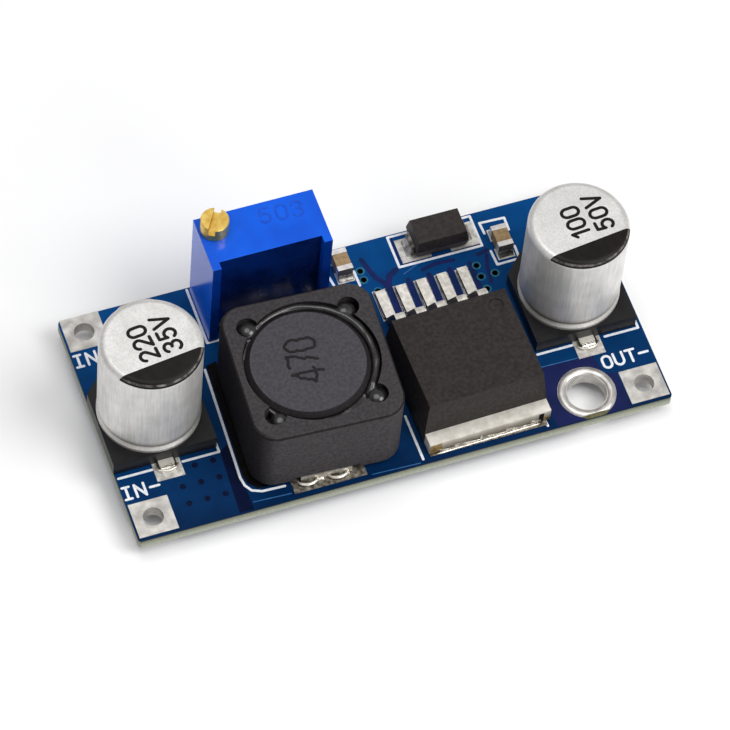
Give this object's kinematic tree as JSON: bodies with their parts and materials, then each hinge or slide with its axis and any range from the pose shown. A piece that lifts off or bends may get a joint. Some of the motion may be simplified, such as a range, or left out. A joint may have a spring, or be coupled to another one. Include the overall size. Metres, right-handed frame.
{
  "type": "boost converter module",
  "caption": "Small step-up voltage converter board with can capacitors, a shielded inductor, a tabbed power package and a multi-turn trimmer that sets the output.",
  "frame": {"origin": "midway between the two mounting holes, on the board's underside", "axes": "+X along the board from the input end to the output end, +Y towards the trimmer's side, +Z out of the component face"},
  "size_m": [0.043, 0.0204, 0.0135],
  "materials": {
    "board_mask": "satin",
    "land_tin": "satin",
    "trimmer_shell": "satin",
    "screw_brass": "polished",
    "seal_rubber": "matte",
    "wheel_moulding": "matte",
    "contact_metal": "satin",
    "element_ceramic": "matte",
    "pin_metal": "satin",
    "potting_resin": "matte",
    "ferrite": "matte",
    "clip_metal": "satin",
    "coil_base_moulding": "matte",
    "winding_wire": "gloss",
    "glue_resin": "gloss",
    "capacitor_base_moulding": "matte",
    "capacitor_can_metal": "satin",
    "package_moulding": "matte",
    "tab_metal": "satin",
    "diode_moulding": "matte",
    "chip_ceramic": "matte",
    "chip_ends": "satin",
    "resistor_coat": "satin",
    "solder_metal": "polished"
  },
  "bodies": {
    "module": {"circuit_board": "board_mask", "mounting_hole_lands": "land_tin", "terminal_lands": "land_tin", "pin_lands": "land_tin", "surface_pads": "land_tin", "trimmer_housing": "trimmer_shell", "trimmer_element": "element_ceramic", "trimmer_pins": "pin_metal", "trimmer_potting": "potting_resin", "pin_solder": "solder_metal", "inductor_shield": "ferrite", "inductor_base": "coil_base_moulding", "inductor_clips": "clip_metal", "inductor_core": "ferrite", "inductor_winding": "winding_wire", "inductor_glue": "glue_resin", "input_capacitor_base": "capacitor_base_moulding", "input_capacitor_can": "capacitor_can_metal", "input_capacitor_leads": "pin_metal", "output_capacitor_base": "capacitor_base_moulding", "output_capacitor_can": "capacitor_can_metal", "output_capacitor_leads": "pin_metal", "power_ic_body": "package_moulding", "power_ic_tab": "tab_metal", "power_ic_leads": "tab_metal", "diode_body": "diode_moulding", "diode_leads": "tab_metal", "input_chip_capacitor": "chip_ceramic", "input_chip_ends": "chip_ends", "output_chip_capacitor": "chip_ceramic", "output_chip_ends": "chip_ends", "feedback_resistor": "resistor_coat", "feedback_resistor_ends": "chip_ends", "solder_fillets": "solder_metal"},
    "screw": {"trimmer_screw": "screw_brass", "trimmer_o_ring": "seal_rubber"},
    "wheel": {"trimmer_worm_wheel": "wheel_moulding", "trimmer_wiper": "contact_metal"}
  },
  "joints": [
    {"name": "screw_turn", "type": "hinge", "parent": "module", "child": "screw", "pos_m": [-0.00967, 0.00842, 0.006], "axis": [0, 0, 1], "range_deg": [-4410, 4590]},
    {"name": "wheel_turn", "type": "hinge", "parent": "module", "child": "wheel", "pos_m": [-0.00643, 0.00842, 0.006], "axis": [0, 1, 0], "range_deg": [-143.44, 137.81]}
  ],
  "couplings": [
    {"joint": "wheel_turn", "follows": "screw_turn", "ratio": -0.03125}
  ]
}
